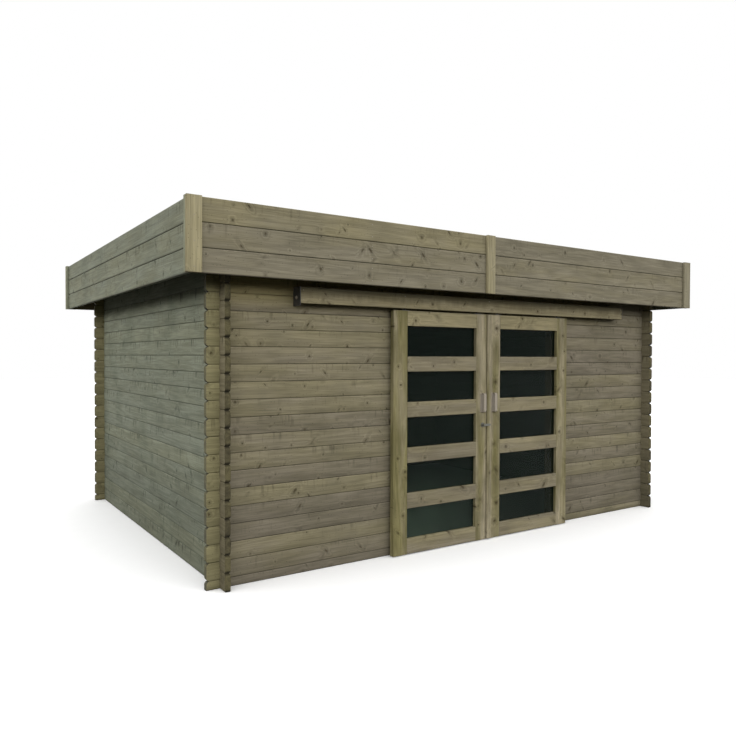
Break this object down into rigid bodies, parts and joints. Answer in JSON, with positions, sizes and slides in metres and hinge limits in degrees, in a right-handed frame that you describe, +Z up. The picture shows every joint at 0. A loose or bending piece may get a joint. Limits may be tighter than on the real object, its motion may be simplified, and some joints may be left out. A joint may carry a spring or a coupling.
{
  "type": "garden shed",
  "caption": "Flat-roofed timber garden shed of interlocking logs with a high board fascia and a pair of glazed doors that slide on a top track across the front.",
  "frame": {"origin": "on the ground under the middle of the roof", "axes": "+X to the right along the front, +Y from the front to the back, +Z up; the doors face -Y"},
  "size_m": [5.04, 3.82, 2.405],
  "materials": {
    "log_timber": "matt, weathered green-tinted pine",
    "sawn_timber": "sawn pine",
    "board_timber": "matt, weathered pine boards",
    "door_timber": "planed pine",
    "glass": "clear",
    "dark_steel": "dull black",
    "bright_steel": "satin",
    "roofing_felt": "mineral felt"
  },
  "bodies": {
    "shed": {"left_wall": "log_timber", "right_wall": "log_timber", "back_wall": "log_timber", "front_wall_left": "log_timber", "front_wall_right": "log_timber", "front_wall_top": "log_timber", "door_jambs": "sawn_timber", "door_head": "sawn_timber", "roof_joists": "sawn_timber", "verge_joists": "sawn_timber", "roof_deck": "sawn_timber", "fascia_studs": "sawn_timber", "roof_felt": "roofing_felt", "front_fascia_left": "board_timber", "front_fascia_right": "board_timber", "back_fascia_left": "board_timber", "back_fascia_right": "board_timber", "left_fascia": "board_timber", "right_fascia": "board_timber", "front_trims": "board_timber", "back_trims": "board_timber", "left_trims": "board_timber", "right_trims": "board_timber", "track_cover_board": "board_timber", "door_track": "dark_steel", "track_brackets": "dark_steel", "track_end_plates": "dark_steel"},
    "left_door": {"left_door_stiles": "door_timber", "left_door_rails": "door_timber", "left_door_glass": "glass", "left_door_beads": "door_timber", "left_door_handle": "bright_steel", "left_door_hangers": "bright_steel", "left_door_lock": "dark_steel"},
    "right_door": {"right_door_stiles": "door_timber", "right_door_rails": "door_timber", "right_door_glass": "glass", "right_door_beads": "door_timber", "right_door_handle": "bright_steel", "right_door_hangers": "bright_steel", "right_door_strike": "bright_steel", "right_door_strip": "door_timber"}
  },
  "joints": [
    {"name": "left_door_slide", "type": "slide", "parent": "shed", "child": "left_door", "axis": [-1, 0, 0], "range_m": [0, 0.775]},
    {"name": "right_door_slide", "type": "slide", "parent": "shed", "child": "right_door", "axis": [1, 0, 0], "range_m": [0, 0.725]}
  ]
}
